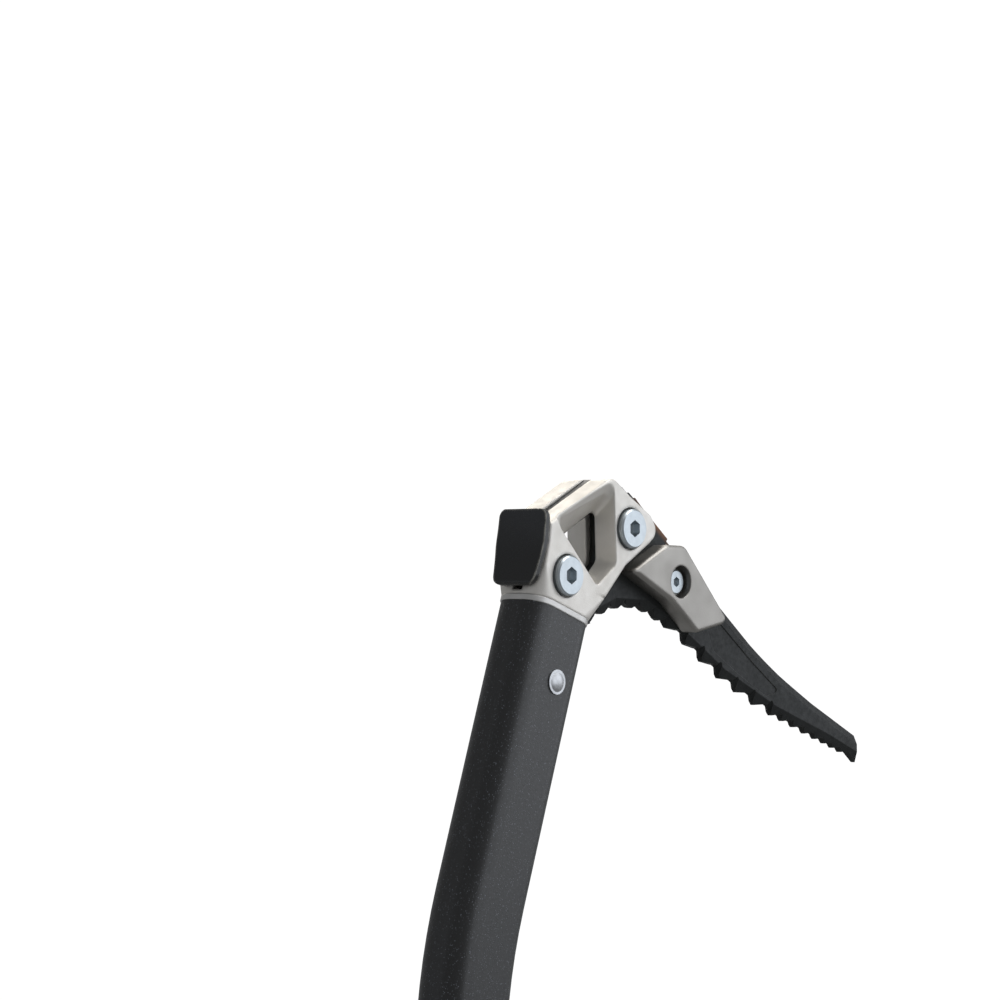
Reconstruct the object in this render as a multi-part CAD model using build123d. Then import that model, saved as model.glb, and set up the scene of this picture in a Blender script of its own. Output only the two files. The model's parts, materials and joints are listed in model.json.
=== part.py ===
from build123d import *
import os
from math import cos, radians, sin

# A technical ice axe: a cast head holding a pick plate and a hammer between two
# cheeks, on a bent aluminium shaft with a rubber grip, two finger rests and a spike.
# Every outline is laid out in millimetres from the axis of the rear pick bolt,
# X forward along the pick, Z up, Y = 0 in the plane of the pick.  The finished
# pieces are moved so that the centre of the head's eye is the origin.

EYE_CENTRE = (17.0, 10.0)          # eye's centre from the rear bolt's axis, X and Z

# head
CHEEK_HALF = 10.3                  # half the head's width at the bolts
NECK_HEIGHT = 9.0                  # from the collar up to the flat cheeks
HEAD_EDGE_R = 1.0
SLOT = 4.2                         # gap between the cheeks
HEAD_TENON_LENGTH = 45.0
REAR_BOLT = (0.0, 0.0)
FRONT_BOLT = (33.1, 15.7)
NECK_TOP_LONG = 32.3               # neck's length fore and aft where the cheeks start
NECK_TOP_FORWARD = 0.42
TENON_GAP = 0.1                    # between the tenon and the tube's bore
TOP_LINE_RISE = 0.49               # slope of the head's top
TOP_LINE_START = 20.9              # height of that top above the rear bolt

# eye through the head: its corners at the slot and at the outer faces, with their radii
EYE_THROAT = [(4.6, 11.1), (17.6, -1.9), (24.9, 5.0), (24.3, 22.2), (6.4, 12.6)]
EYE_THROAT_RADII = [1.2, 1.8, 3.0, 2.0, 1.2]
EYE_MOUTH = [(-3.4, 15.4), (15.4, -3.6), (25.8, 3.6), (24.6, 32.0), (-7.5, 22.4)]
EYE_MOUTH_RADII = [3.5, 2.2, 3.0, 3.0, 2.0]
EYE_ROLL = (0.60, 0.72)            # share of the flare, and of the depth, where it turns steeper

# pick bolts: M8 low-head cap screws
BOLT_HEAD_R = 6.5
BOLT_HEAD_H = 5.0
BOLT_SHANK_R = 4.0
BOLT_CLEARANCE_R = 4.2
BOLT_POCKET_R = 7.15
BOLT_PROUD = 2.0                   # how far a bolt head stands out of its cheek
HEX_KEY = 5.0
NUT_FLATS = 13.0
NUT_H = 5.0

# plates in the slot
PLATE = 4.0
BEVEL_WIDTH = 2.8
BEVEL_DEPTH = 1.35
TOOTH_RUN = 0.63                   # where the notch lies between two teeth
TOOTH_DEPTH = 0.25                 # depth of a tooth as a share of its pitch
HEEL_NOTCH = 1.9                   # depth of the V notches near the head
SAW_BEVEL_WIDTH = 3.6              # the blade thins over this height to its teeth
SAW_BEVEL_DEPTH = 1.15

# pick weight
WEIGHT_HALF = 8.6                  # outer face of a weight half
WEIGHT_EDGE_R = 1.5
WEIGHT_SCREW = (63.0, -1.8)
WEIGHT_SCREW_HEAD_R = 4.25         # M5 low-head cap screw
WEIGHT_SCREW_HEAD_H = 2.7
WEIGHT_SHANK_R = 2.5
WEIGHT_CLEARANCE = 0.2             # round its shank, in the pick and the right half
WEIGHT_KEY = 3.0
WEIGHT_POCKET_R = 5.6
WEIGHT_POCKET_DEPTH = 4.7

# shaft: rounded rectangular tube, bent in the plane of the pick
SHAFT_LONG = 30.0
SHAFT_WIDE = 20.0
SHAFT_CORNER = 7.5
SHAFT_WALL = 1.8
SHAFT_TOP = (0.5, -12.5)
SHAFT_LEAN = -19.3                 # degrees from straight down, minus is rearward
UPPER_STRAIGHT = 95.0
MAIN_BEND_R = 170.0
MAIN_BEND = 42.0                   # degrees, turning forward
GRIP_BEND_R = 90.0
GRIP_BEND = 26.7                   # degrees, turning back
GRIP_STRAIGHT = 172.0
COLLAR_HEIGHT = 2.0
COLLAR_PROUD = 0.35
RIVET_DOWN = 22.3                  # head rivet below the shaft's top, along it
RIVET_FORWARD = 2.0
RIVET_HEAD_R = 4.05
RIVET_RIM = 0.4                    # height of the flat rim round its dome
RIVET_DOME_R = 3.2
RIVET_DOME = 1.0
RIVET_SHANK_R = 2.5

# grip and rests, as distances down the straight lower shaft
REST_TOP = 4.0
REST_HEIGHT = 18.0
REST_WALL = 3.2
REST_CLEARANCE = 0.08
REST_ROOM = 0.25
REST_SEAM = 0.8                    # gap between the halves of the finger rest
REST_SCREW_SIDE = 15.6
REST_SCREW_R = 1.5
REST_SCREW_HEAD_R = 2.7
REST_EAR_R = 4.2
GRIP_TOP = 50.0
GRIP_LENGTH = 101.0
GRIP_THICK = 2.6
WAVES = 4                          # hollows for the fingers
WAVE_R = 18.2
WAVE_STAND_OFF = 17.0              # their axes in front of the rubber
RING_HEIGHT = 3.9
RING_THICK = 3.2
HAND_REST_TOP = 151.3
HAND_REST_HEIGHT = 20.0
HAND_BOLT_R = 2.5
HAND_BOLT_CLEARANCE = 0.1
HAND_BOLT_HEAD_R = 4.25
HAND_BOLT_HEAD_H = 2.6
HAND_BOLT_KEY = 3.0
HAND_NUT_FLATS = 8.0
HAND_SEAT = 1.6                    # rest's wall under the bolt's head
HAND_NUT_SEAT = 1.2                # and under its nut
PLUG_DEPTH = 34.0
PLUG_CAP = 5.0
PIN_R = 2.0
SPIKE_RIVETS = (143.0, 149.0)
SPIKE_PLATE = 4.0
SPIKE_LENGTH = 36.0
SPIKE_EYE_R = 6.0

FIT = 0.05                         # gap round a pressed pin or a seated piece
CLOSE = 0.02                       # gap round a moulded or clamped piece
THROUGH = 20.0                     # half the length of a cut right across the axe


def heading(angle):
    """Direction in X, Z that is angle degrees forward of straight down."""
    return (sin(radians(angle)), -cos(radians(angle)))


def along(start, angle, forward=0.0, down=0.0):
    """Point reached from start, down an axis and square to it."""
    axis_x, axis_z = heading(angle)
    return (start[0] + axis_x * down - axis_z * forward,
            start[1] + axis_z * down + axis_x * forward)


def bend_end(start, angle, radius, turn):
    """End point of an arc that starts along angle and turns by turn degrees."""
    side = 1 if turn > 0 else -1
    centre = along(start, angle, forward=side * radius)
    return along(centre, angle + turn, forward=-side * radius)


MAIN_BEND_START = along(SHAFT_TOP, SHAFT_LEAN, down=UPPER_STRAIGHT)
MAIN_BEND_END = bend_end(MAIN_BEND_START, SHAFT_LEAN, MAIN_BEND_R, MAIN_BEND)
GRIP_ANGLE = SHAFT_LEAN + MAIN_BEND - GRIP_BEND
GRIP_START = bend_end(MAIN_BEND_END, SHAFT_LEAN + MAIN_BEND, GRIP_BEND_R, -GRIP_BEND)


def plate(outline, y_low, y_high):
    """Solid of an X, Z outline between two values of Y."""
    return Pos(0, y_high, 0) * extrude(Plane.XZ * outline, amount=y_high - y_low)


def polygon(corners, radii=0.0):
    """Closed outline with its corners rounded by one radius or one each."""
    return make_face(FilletPolyline(*corners, radius=radii, close=True))


def rod(centre, radius, y_low, y_high):
    """Round bar across the axe."""
    return plate(Pos(centre[0], centre[1]) * Circle(radius), y_low, y_high)


def hexagon_bar(centre, flats, y_low, y_high):
    """Hexagonal bar across the axe, by the distance over its flats."""
    outline = RegularPolygon(flats / 2, 6, major_radius=False, rotation=30)
    return plate(Pos(centre[0], centre[1]) * outline, y_low, y_high)


def shaft_plane(start, angle, down=0.0):
    """Plane square to the shaft: local x forward, local z down the shaft."""
    x, z = along(start, angle, down=down)
    axis_x, axis_z = heading(angle)
    return Plane(origin=(x, 0, z), x_dir=(-axis_z, 0, axis_x), z_dir=(axis_x, 0, axis_z))


def shaft_block(start, angle, down, height, long, wide, corner):
    """Length of rounded rectangular bar on the shaft's axis."""
    section = shaft_plane(start, angle, down) * RectangleRounded(long, wide, corner)
    return extrude(section, amount=height)


def top_line(x, below=0.0):
    """Point on the head's top face, or so far under it."""
    return (x, TOP_LINE_START + TOP_LINE_RISE * x - below)


# ---------------------------------------------------------------- head casting

def head_outline():
    """Side view of the two cheeks, above the neck."""
    corners = [(-12.6, -4.2), (-8.7, 11.0), top_line(-8.0), top_line(24.2), (34.0, 26.3),
               (44.6, 20.4), (48.8, 14.6), (44.0, 11.0), (31.0, 3.4), (20.2, -7.2)]
    return polygon(corners, [0, 0, 0, 5, 0, 4, 4, 8, 0, 0])


def eye_section(share):
    """Outline of the eye a share of the way from its throat to its mouth."""
    corners = [between(a, b, share) for a, b in zip(EYE_THROAT, EYE_MOUTH)]
    radii = [a + share * (b - a) for a, b in zip(EYE_THROAT_RADII, EYE_MOUTH_RADII)]
    return polygon(corners, radii)


def eye_opening():
    """Rounded triangle through the head, rolled wide towards the outer faces."""
    roll_share, roll_depth = EYE_ROLL
    throat_y, mouth_y = SLOT / 2, CHEEK_HALF + 0.3
    roll_y = throat_y + roll_depth * (mouth_y - throat_y)
    opening = plate(eye_section(0), -SLOT, SLOT)
    for side in (-1, 1):
        sections = []
        for share, y in ((0, throat_y), (roll_share, roll_y), (1, mouth_y)):
            sections.append(Pos(0, side * y, 0) * (Plane.XZ * eye_section(share)))
        opening += loft(sections, ruled=True)
    return opening


def head_neck():
    """Casting between the shaft's round-edged section and the flat cheeks."""
    low = shaft_plane(SHAFT_TOP, SHAFT_LEAN, -COLLAR_HEIGHT)
    low = low * RectangleRounded(SHAFT_LONG + 0.4, SHAFT_WIDE + 0.5, SHAFT_CORNER + 0.1)
    high = shaft_plane(SHAFT_TOP, SHAFT_LEAN, -COLLAR_HEIGHT - NECK_HEIGHT)
    high = high * (Pos(NECK_TOP_FORWARD, 0) * RectangleRounded(NECK_TOP_LONG, 2 * CHEEK_HALF,
                                                               HEAD_EDGE_R))
    return loft([low, high], ruled=True)


def lies_on_neck(edge):
    """True for an edge in the plane where the cheeks meet the neck."""
    plane = shaft_plane(SHAFT_TOP, SHAFT_LEAN, -COLLAR_HEIGHT - NECK_HEIGHT)
    return abs(plane.to_local_coords(edge.center()).Z) < 0.01


def make_head_body():
    """Cast head: two cheeks, neck and the tenon that fills the shaft's top."""
    cheeks = plate(head_outline(), -CHEEK_HALF, CHEEK_HALF)
    cheeks &= shaft_block(SHAFT_TOP, SHAFT_LEAN, -COLLAR_HEIGHT - 60, 51, 140, 40, 1)
    sides = cheeks.faces().filter_by(Axis.Y)
    rims = [e for e in sides.edges() if not lies_on_neck(e)]
    cheeks = fillet(rims, HEAD_EDGE_R)
    body = cheeks + head_neck()
    floor = COLLAR_HEIGHT + 1.3
    slot = shaft_block(SHAFT_TOP, SHAFT_LEAN, -floor - 80, 80, 140, SLOT, 1)
    body -= slot
    body -= eye_opening()
    slim = SHAFT_WALL + TENON_GAP
    body += shaft_block(SHAFT_TOP, SHAFT_LEAN, -COLLAR_HEIGHT - 0.5, HEAD_TENON_LENGTH + COLLAR_HEIGHT,
                        SHAFT_LONG - 2 * slim, SHAFT_WIDE - 2 * slim, SHAFT_CORNER - slim)
    for bolt in (REAR_BOLT, FRONT_BOLT):
        body -= rod(bolt, BOLT_CLEARANCE_R, -THROUGH, THROUGH)
        body -= rod(bolt, BOLT_POCKET_R, -THROUGH, BOLT_HEAD_H - BOLT_PROUD - CHEEK_HALF)
        body -= hexagon_bar(bolt, NUT_FLATS + 0.2, CHEEK_HALF - NUT_H, THROUGH)
    return body - rod(head_rivet_centre(), RIVET_SHANK_R + FIT, -THROUGH, THROUGH)


def make_head_collar():
    """Thin lip ring between the head and the shaft."""
    ring = shaft_block(SHAFT_TOP, SHAFT_LEAN, -COLLAR_HEIGHT, COLLAR_HEIGHT,
                       SHAFT_LONG + 2 * COLLAR_PROUD, SHAFT_WIDE + 2 * COLLAR_PROUD,
                       SHAFT_CORNER + COLLAR_PROUD)
    ring = fillet(ring.faces().sort_by(Axis.Z)[0].edges(), 0.3)
    inner = (SHAFT_LONG - 2 * SHAFT_WALL, SHAFT_WIDE - 2 * SHAFT_WALL)
    return ring - shaft_block(SHAFT_TOP, SHAFT_LEAN, -5, 10, inner[0], inner[1],
                              SHAFT_CORNER - SHAFT_WALL)


# ---------------------------------------------------------------- pick bolts

def cap_screw(centre, head_r, head_h, face_y, shank_r, end_y, key):
    """Low-head cap screw entering from the right side, with a hexagon socket."""
    head = rod(centre, head_r, face_y, face_y + head_h)
    outer = head.edges().group_by(Axis.Y)[0]
    head = chamfer(outer, 0.5)
    screw = head + rod(centre, shank_r, face_y + head_h, end_y)
    return screw - hexagon_bar(centre, key, face_y - 1, face_y + 0.55 * head_h)


def make_pick_bolt(centre):
    """M8 screw from the right cheek into its nut."""
    return cap_screw(centre, BOLT_HEAD_R, BOLT_HEAD_H, -CHEEK_HALF - BOLT_PROUD, BOLT_SHANK_R,
                     CHEEK_HALF - 0.6, HEX_KEY)


def make_pick_nut(centre):
    """Thin hexagon nut sunk into the left cheek."""
    nut = hexagon_bar(centre, NUT_FLATS, CHEEK_HALF - NUT_H + FIT, CHEEK_HALF - 0.3)
    return nut - rod(centre, BOLT_SHANK_R + FIT, 0, THROUGH)


# ---------------------------------------------------------------- pick

# corners of the saw edge that touch the ice, from the head to the point
HEEL_TEETH = [(22.2, -15.6), (29.2, -12.6), (36.4, -10.8), (43.9, -10.4), (51.4, -11.4),
              (58.6, -14.1)]
SAW_TEETH = [(65.2, -17.4), (75.7, -23.2), (84.9, -29.2), (94.9, -35.2), (104.9, -40.3),
             (115.3, -45.0), (125.9, -49.0), (132.6, -51.2), (139.4, -53.6), (146.2, -56.1),
             (152.8, -58.3), (158.6, -60.1), (163.9, -61.9), (169.0, -63.6)]
LAST_NOTCH = (173.2, -63.3)
PICK_BACK_END = (177.8, -57.9)
PICK_TIP = (178.0, -67.7)


def between(start, end, share, inward=0.0):
    """Point a share of the way along a run, moved in square to it."""
    run = (end[0] - start[0], end[1] - start[1])
    length = (run[0] ** 2 + run[1] ** 2) ** 0.5
    return (start[0] + share * run[0] - inward * run[1] / length,
            start[1] + share * run[1] + inward * run[0] / length)


def saw_edge():
    """Short heel teeth with V notches, then hooked teeth that point to the shaft."""
    points = []
    for tip, after in zip(HEEL_TEETH, HEEL_TEETH[1:] + SAW_TEETH[:1]):
        points += [tip, between(tip, after, 0.24), between(tip, after, 0.62, HEEL_NOTCH)]
    for tip, after in zip(SAW_TEETH, SAW_TEETH[1:]):
        pitch = ((after[0] - tip[0]) ** 2 + (after[1] - tip[1]) ** 2) ** 0.5
        points += [tip, between(tip, after, TOOTH_RUN, TOOTH_DEPTH * pitch)]
    return points + [SAW_TEETH[-1], LAST_NOTCH]


def top_steps():
    """Three small catches on the back of the pick, in front of the head."""
    points = []
    for step in range(3):
        start = between((37.6, 30.0), (49.4, 24.3), step / 3)
        points += [start, between(start, (49.4, 24.3), 0.12, 0.55)]
    return points


def pick_outline():
    """Blade with a tail that runs back under the eye to the rear bolt."""
    straight = [(27.0, 22.0), (27.0, 32.0), (33.0, 31.8)] + top_steps()
    straight += [(49.6, 23.6), (112.4, -23.3)]
    curve = [(112.4, -23.3), (124.0, -31.0), (137.0, -38.3), (150.5, -45.3)]
    tail = [(18.8, -16.4), (16.6, -15.8), (16.4, -14.2), (0.2, -8.5), (0.2, 4.8), (2.4, 12.4),
            (17.3, -3.0), (19.6, -2.4), (26.4, 4.3), (27.0, 9.0), (27.0, 22.0)]
    edge = Polyline(*straight) + Spline(*curve, tangents=[(1, -0.74), (1, -0.52)])
    edge += Polyline(*(curve[-1:] + [PICK_BACK_END, PICK_TIP] + saw_edge()[::-1] + tail))
    return make_face(edge)


def arm_strip_outline():
    """Branch of the pick plate that lies in the slot of the top arm."""
    corners = [top_line(3.0, 1.1), top_line(24.0, 0.7), (28.0, 30.4), (28.0, 22.0),
               (25.2, 22.0), (6.0, 13.0), (3.0, 13.4)]
    return polygon(corners)


def bevel_cutters(path, width, depth):
    """Two bars that slope the faces of the blade down to an edge on the path's left."""
    run = Vector(path[1][0] - path[0][0], 0, path[1][1] - path[0][1])
    plane = Plane(origin=(path[0][0], 0, path[0][1]), x_dir=(0, 1, 0), z_dir=run.normalized())
    cutters = []
    for side in (-1, 1):
        inner = side * (PLATE / 2 - depth)
        outer = side * (PLATE / 2)
        section = Polyline((inner - side * 0.5 * depth, 0.5 * width), (outer + side * depth, -2 * width),
                           (outer + 4 * side, -2 * width), (outer + 4 * side, 0.5 * width), close=True)
        cutters.append(sweep(plane * make_face(section), path=Plane.XZ * Polyline(*path),
                             transition=Transition.RIGHT))
    return cutters


def back_bevels():
    """Bevel of the blade's back, from the weight to the point."""
    path = [(64.0, 12.9), (112.4, -23.3), (131.0, -35.2), (150.5, -45.3)]
    path.append(between(path[-1], PICK_BACK_END, 1.3))
    return bevel_cutters(path, BEVEL_WIDTH, BEVEL_DEPTH)


def saw_bevels():
    """Bevel that thins the blade towards its teeth."""
    path = [PICK_TIP, SAW_TEETH[-3], SAW_TEETH[6], SAW_TEETH[3], SAW_TEETH[0], HEEL_TEETH[4],
            HEEL_TEETH[2], HEEL_TEETH[0]]
    return bevel_cutters(path, SAW_BEVEL_WIDTH, SAW_BEVEL_DEPTH)


def tooth_scoops():
    """Small cones that dish the sides of the blade behind each notch."""
    scoops = []
    tips = HEEL_TEETH + SAW_TEETH
    for tip, after in zip(tips, tips[1:]):
        pitch = ((after[0] - tip[0]) ** 2 + (after[1] - tip[1]) ** 2) ** 0.5
        share = 0.62 if tip in HEEL_TEETH else TOOTH_RUN + 0.1
        mouth = between(tip, after, share, -0.1 * pitch)
        deep = between(tip, after, share, 0.5 * pitch)
        inward = Vector(deep[0] - mouth[0], 0, deep[1] - mouth[1])
        for side in (-1, 1):
            aim = inward + Vector(0, side * 0.30 * pitch, 0)
            plane = Plane(origin=(mouth[0], side * (PLATE / 2 - 0.12 * pitch), mouth[1]),
                          z_dir=aim.normalized())
            scoops.append(plane * Cone(0.19 * pitch, 0.08 * pitch, 0.75 * pitch,
                                       align=(Align.CENTER, Align.CENTER, Align.MIN)))
    return scoops


def make_pick():
    """Forged steel blade with a bevelled back and a scooped saw edge."""
    half = PLATE / 2
    blade = plate(pick_outline(), -half, half) + plate(arm_strip_outline(), -half, half)
    for cut in back_bevels() + saw_bevels() + tooth_scoops():
        blade -= cut
    for side in (-1, 1):
        blade -= Pos(0, side * (half + 0.1), 0) * plate(blade_panel(), -0.35, 0.35)
    for centre in (REAR_BOLT, FRONT_BOLT):
        blade -= rod(centre, BOLT_CLEARANCE_R, -THROUGH, THROUGH)
    return blade - rod(WEIGHT_SCREW, WEIGHT_SHANK_R + WEIGHT_CLEARANCE, -THROUGH, THROUGH)


def blade_panel():
    """Shallow pressed panel on the side of the blade, in front of the weight."""
    return polygon([(86.0, -17.0), (93.0, -15.5), (113.0, -30.0), (129.0, -40.5), (121.0, -42.0),
                    (104.0, -33.5), (90.0, -25.5)], [2, 2, 6, 1, 3, 6, 2])


# ---------------------------------------------------------------- pick weight

def weight_outline(side):
    """Side view of a half; the left one is cut shorter below, clear of the teeth."""
    low = [(72.4, -19.2), (58.5, -8.3)] if side < 0 else [(79.5, -15.6), (62.0, -5.4)]
    return polygon([(37.0, 1.8), (56.0, 10.7), (65.8, 10.5), (89.8, -14.6), (86.8, -16.5)] + low,
                   [0.8, 3, 4.5, 1.8, 1.8, 3, 14])


def make_weight_half(side):
    """One cast half of the pick weight; the right one takes the screw's head."""
    inner, outer = PLATE / 2 + CLOSE, WEIGHT_HALF
    low, high = sorted((side * inner, side * outer))
    half = plate(weight_outline(side), low, high)
    face = half.faces().sort_by(Axis.Y)[-1 if side > 0 else 0]
    half = fillet(face.edges(), WEIGHT_EDGE_R)
    step = polygon([(34.0, 1.6), (55.0, 11.4), (62.0, 11.6), (62.0, 14.0), (30.0, 14.0)])
    step_low, step_high = sorted((side * (outer - 0.7), side * (outer + 1)))
    half -= plate(step, step_low, step_high)
    if side < 0:
        half -= rod(WEIGHT_SCREW, WEIGHT_POCKET_R, -outer - 1, -outer + WEIGHT_POCKET_DEPTH)
        return half - rod(WEIGHT_SCREW, WEIGHT_SHANK_R + WEIGHT_CLEARANCE, -outer - 1, 0)
    return half - rod(WEIGHT_SCREW, WEIGHT_SHANK_R + 0.03, 0, outer - 1.6)


def make_weight_screw():
    """M5 screw that joins the two halves through the pick."""
    face = -WEIGHT_HALF + WEIGHT_POCKET_DEPTH - WEIGHT_SCREW_HEAD_H
    return cap_screw(WEIGHT_SCREW, WEIGHT_SCREW_HEAD_R, WEIGHT_SCREW_HEAD_H, face,
                     WEIGHT_SHANK_R, WEIGHT_HALF - 2.2, WEIGHT_KEY)


# ---------------------------------------------------------------- hammer

def hammer_profile():
    """Side view of the block: a slightly domed rear face that leans like the shaft."""
    rear = ThreePointArc((-9.8, 21.6), (-11.6, 10.0), (-15.4, -2.6))
    front = Polyline((-15.4, -2.6), (-13.6, -3.3), (-12.65, -3.2), (-8.78, 11.0),
                     (-8.08, 17.0), (-8.05, 20.6), (-8.6, 21.4), (-9.8, 21.6))
    return make_face(rear + front)


def hammer_front_view():
    """Seen from behind: widest near the top, narrowing to rounded lower corners."""
    return polygon([(-9.8, 21.7), (9.8, 21.7), (10.1, 10.0), (8.3, -3.4), (-8.3, -3.4),
                    (-10.1, 10.0)], [3.0, 3.0, 25, 4.2, 4.2, 25])


def make_hammer():
    """Steel hammer block with a tang that hooks round the rear bolt in the slot."""
    block = plate(hammer_profile(), -THROUGH, THROUGH)
    block &= Pos(-2 * THROUGH, 0, 0) * extrude(Plane.YZ * hammer_front_view(), amount=3 * THROUGH)
    rear_face = block.faces().sort_by(Axis.X)[0]
    block = fillet(rear_face.edges(), 1.2)
    tang = [(-12.4, -2.2), (-9.0, -5.0), (-0.2, -8.4), (-0.2, 6.0), (1.6, 12.0), (1.8, 19.4),
            (-5.0, 17.2), (-9.4, 16.0)]
    hammer = block + plate(polygon(tang), -PLATE / 2, PLATE / 2)
    return hammer - rod(REAR_BOLT, BOLT_CLEARANCE_R, -THROUGH, THROUGH)


# ---------------------------------------------------------------- shaft

def shaft_path(length):
    """Centreline of the shaft: straight, main bend, counter bend, straight grip."""
    side = Plane.XZ
    top = Line(SHAFT_TOP, MAIN_BEND_START)
    main = JernArc(MAIN_BEND_START, heading(SHAFT_LEAN), MAIN_BEND_R, MAIN_BEND)
    back = JernArc(MAIN_BEND_END, heading(SHAFT_LEAN + MAIN_BEND), GRIP_BEND_R, -GRIP_BEND)
    grip = Line(GRIP_START, along(GRIP_START, GRIP_ANGLE, down=length))
    return side * (top + main + back + grip)


def make_shaft():
    """Bent aluminium tube from the head's collar to the spike."""
    start = shaft_plane(SHAFT_TOP, SHAFT_LEAN)
    path = shaft_path(GRIP_STRAIGHT)
    outer = sweep(start * RectangleRounded(SHAFT_LONG, SHAFT_WIDE, SHAFT_CORNER), path=path)
    inner = sweep(start * RectangleRounded(SHAFT_LONG - 2 * SHAFT_WALL, SHAFT_WIDE - 2 * SHAFT_WALL,
                                           SHAFT_CORNER - SHAFT_WALL), path=path)
    tube = outer - inner
    tube -= rod(head_rivet_centre(), RIVET_SHANK_R + FIT, -THROUGH, THROUGH)
    for centre in spike_rivet_centres():
        tube -= rod(centre, PIN_R + FIT, -THROUGH, THROUGH)
    return tube - rod(hand_bolt_centre(), HAND_BOLT_R + HAND_BOLT_CLEARANCE, -THROUGH, THROUGH)


def head_rivet_centre():
    return along(SHAFT_TOP, SHAFT_LEAN, forward=RIVET_FORWARD, down=RIVET_DOWN)


def make_head_rivet():
    """Solid rivet across the shaft: on both sides a flat rim with a dome on it."""
    centre = head_rivet_centre()
    face = SHAFT_WIDE / 2 + CLOSE
    rim = face + RIVET_RIM
    rivet = rod(centre, RIVET_SHANK_R, -face, face)
    sphere_r = (RIVET_DOME_R ** 2 + RIVET_DOME ** 2) / (2 * RIVET_DOME)
    for side in (-1, 1):
        low, high = sorted((side * face, side * rim))
        rivet += rod(centre, RIVET_HEAD_R, low, high)
        ball = Pos(centre[0], side * (rim + RIVET_DOME - sphere_r), centre[1]) * Sphere(sphere_r)
        low, high = sorted((side * (rim - 0.1), side * (rim + 2 * RIVET_DOME)))
        rivet += ball & rod(centre, RIVET_HEAD_R, low, high)
    return rivet


# ---------------------------------------------------------------- grip and rests

def grip_block(down, height, long, wide, corner):
    return shaft_block(GRIP_START, GRIP_ANGLE, down, height, long, wide, corner)


def shaft_bore(down, height, gap):
    """Space that the lower shaft takes up, with a gap all round."""
    return grip_block(down, height, SHAFT_LONG + 2 * gap, SHAFT_WIDE + 2 * gap, SHAFT_CORNER + gap)


def make_grip_sleeve():
    """Rubber sleeve moulded round the lower shaft, with finger waves in front."""
    long = SHAFT_LONG + 2 * GRIP_THICK
    wide = SHAFT_WIDE + 2 * GRIP_THICK
    sleeve = grip_block(GRIP_TOP, GRIP_LENGTH, long, wide, SHAFT_CORNER + GRIP_THICK)
    sleeve = fillet(sleeve.faces().filter_by(GeomType.PLANE).sort_by(Axis.Z)[0].edges()
                    + sleeve.faces().filter_by(GeomType.PLANE).sort_by(Axis.Z)[-1].edges(), 1.2)
    for wave in range(WAVES):
        centre = along(GRIP_START, GRIP_ANGLE, forward=long / 2 + WAVE_STAND_OFF,
                       down=GRIP_TOP + GRIP_LENGTH * (wave + 0.5) / WAVES)
        sleeve -= rod(centre, WAVE_R, -THROUGH, THROUGH)
    return sleeve - shaft_bore(GRIP_TOP - 1, GRIP_LENGTH + 2, CLOSE / 2)


def make_grip_ring():
    """Hard ring that finishes the top of the rubber sleeve."""
    top = GRIP_TOP - RING_HEIGHT - 0.1
    ring = grip_block(top, RING_HEIGHT, SHAFT_LONG + 2 * RING_THICK, SHAFT_WIDE + 2 * RING_THICK,
                      SHAFT_CORNER + RING_THICK)
    ring = fillet(ring.faces().filter_by(GeomType.PLANE).edges(), 0.8)
    return ring - shaft_bore(top - 1, RING_HEIGHT + 2, CLOSE / 2)


def grip_side(corners, radii=0.0):
    """Outline from forward and down distances on the straight lower shaft."""
    points = [along(GRIP_START, GRIP_ANGLE, forward=f, down=d) for f, d in corners]
    return polygon(points, radii)


def rest_collar():
    """Short collar round the lower shaft, bored to pass the tube."""
    outer = grip_block(REST_TOP, REST_HEIGHT, SHAFT_LONG + 2 * REST_WALL,
                       SHAFT_WIDE + 2 * REST_WALL, SHAFT_CORNER + REST_WALL)
    outer = fillet(outer.faces().filter_by(GeomType.PLANE).edges(), 0.8)
    return outer - shaft_bore(REST_TOP - 1, REST_HEIGHT + 2, REST_CLEARANCE)


def rest_room():
    """Space kept free round the shaft by the hook and the ears of the sliding rest."""
    return shaft_bore(REST_TOP - 1, REST_HEIGHT + 9, REST_ROOM)


def slab(back, front, down, height):
    """Block wider than the axe, between two distances forward of the centreline."""
    return plate(grip_side([(back, down), (front, down), (front, down + height),
                            (back, down + height)]), -2 * THROUGH, 2 * THROUGH)


def rest_screw_lines():
    """Heights and sides of the screws that join the two halves of the finger rest."""
    return [(REST_TOP + REST_HEIGHT / 2, side * REST_SCREW_SIDE) for side in (-1, 1)]


def fore_and_aft(down, across, radius, back, front):
    """Round bar square to the lower shaft, from back to front."""
    x, z = along(GRIP_START, GRIP_ANGLE, forward=back, down=down)
    axis_x, axis_z = heading(GRIP_ANGLE)
    plane = Plane(origin=(x, across, z), z_dir=(-axis_z, 0, axis_x))
    return extrude(plane * Circle(radius), amount=front - back)


def rest_ears():
    """Lugs on both sides of the collar that take the joining screws."""
    ears = []
    for down, across in rest_screw_lines():
        ears.append(fore_and_aft(down, across, REST_EAR_R, -6.5, 6.5))
    return ears


def make_finger_rest():
    """Front half of the sliding rest, with the hook for the first finger."""
    hook = grip_side([(10, 7), (24, 8.5), (38, 14.5), (44.5, 13.5), (46, 18.5), (38, 24.5),
                      (27, 21.5), (19.5, 25.5), (10, 25.5)], [0, 9, 7, 2.2, 2.2, 7, 8, 1, 0])
    hook = plate(hook, -6.5, 6.5)
    side_edges = [e for e in hook.edges() if abs(e.center().Y) > 6.4]
    body = rest_collar() + (fillet(side_edges, 2.0) - rest_room())
    for ear in rest_ears():
        body += ear - rest_room()
    body -= slab(-60, REST_SEAM / 2, REST_TOP - 5, REST_HEIGHT + 20)
    for down, across in rest_screw_lines():
        body -= fore_and_aft(down, across, REST_SCREW_R + 0.03, -10, 5.5)
    return body


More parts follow.
